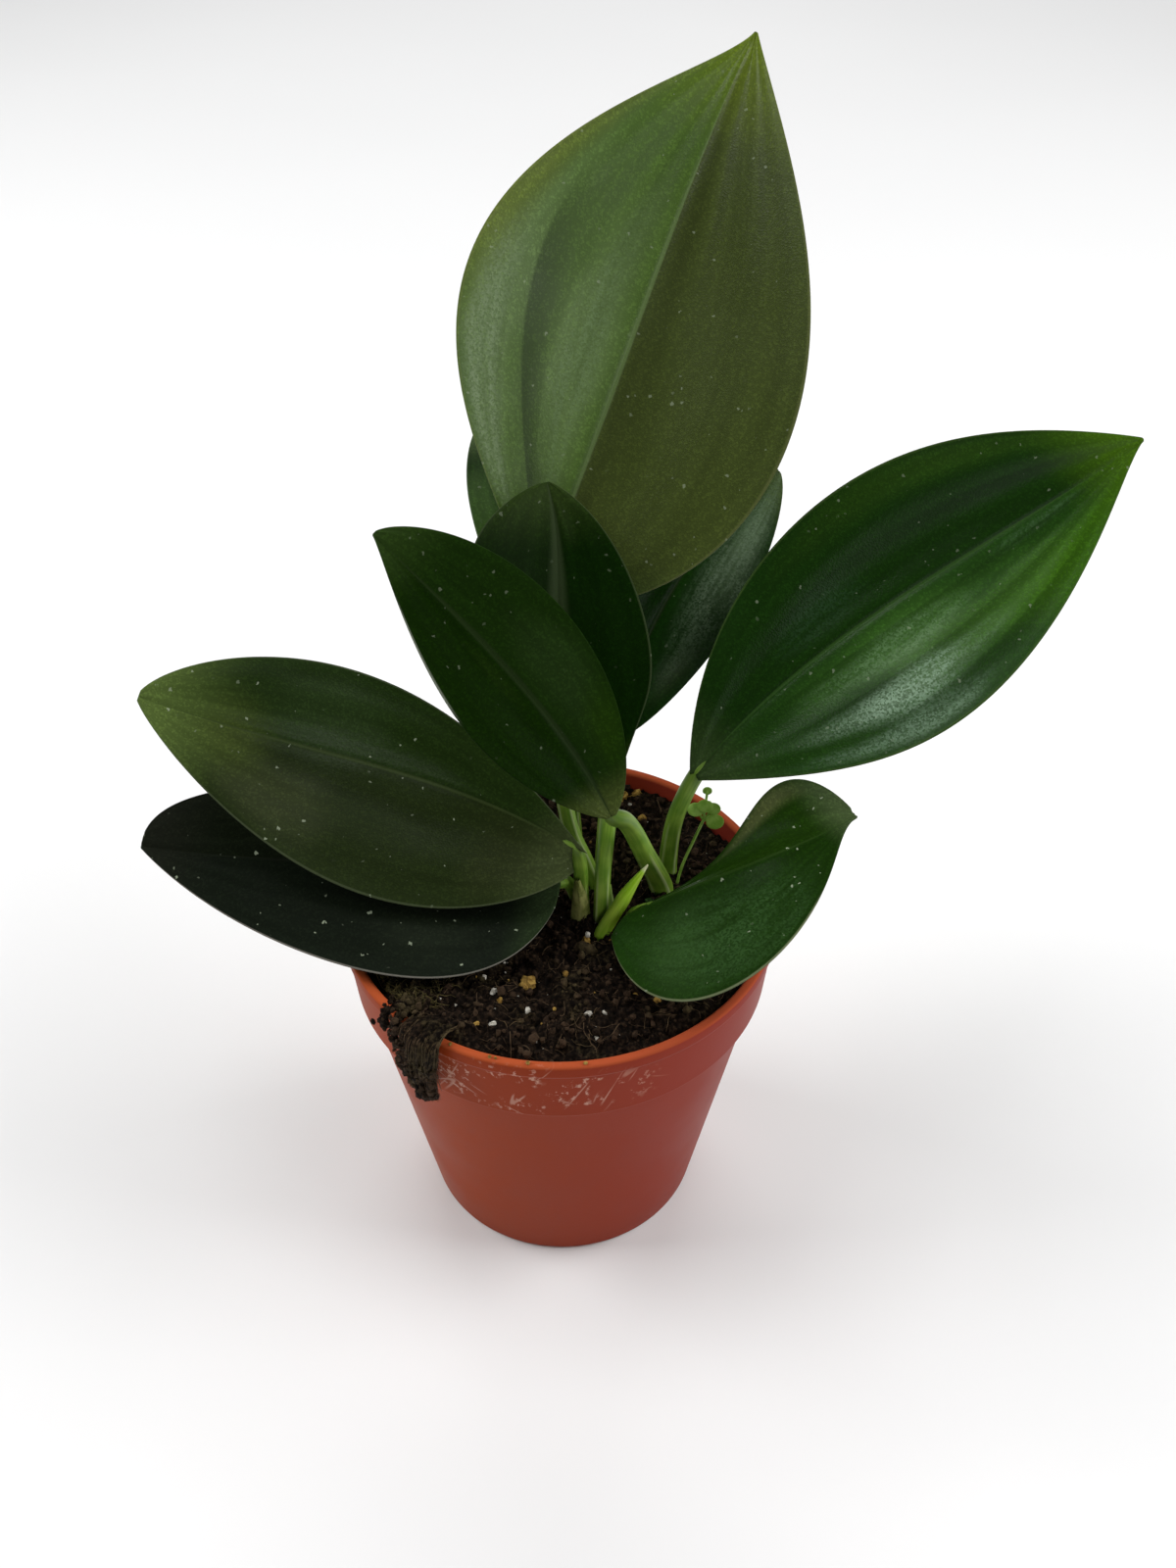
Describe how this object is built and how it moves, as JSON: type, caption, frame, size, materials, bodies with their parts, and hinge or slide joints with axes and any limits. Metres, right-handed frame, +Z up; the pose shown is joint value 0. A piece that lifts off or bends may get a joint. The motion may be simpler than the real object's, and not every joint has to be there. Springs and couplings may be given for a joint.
{
  "type": "potted scindapsus treubii, dark form",
  "caption": "Young dark-leaved scindapsus with broad pointed leaves on short stalks, rooted in peat in a small round nursery pot.",
  "frame": {"origin": "middle of the pot's underside, on the surface that it stands on", "axes": "+Z up; +X to the right in the picture and +Y away from its camera, towards the back leaves"},
  "size_m": [0.2087, 0.1636, 0.2166],
  "materials": {
    "leaf": "satin",
    "shoot": "satin",
    "dry_sheath": "matte",
    "seedling": "matte",
    "peat": "matte",
    "pot_plastic": "satin"
  },
  "bodies": {
    "root": {"pot": "pot_plastic", "soil": "peat", "leaf_1": "leaf", "leaf_2": "leaf", "leaf_3": "leaf", "leaf_4": "leaf", "leaf_5": "leaf", "leaf_6": "leaf", "leaf_7": "leaf", "leaf_8": "leaf", "leaf_9": "leaf", "new_shoot": "shoot", "old_sheath": "dry_sheath", "weed_seedling": "seedling"}
  },
  "joints": []
}
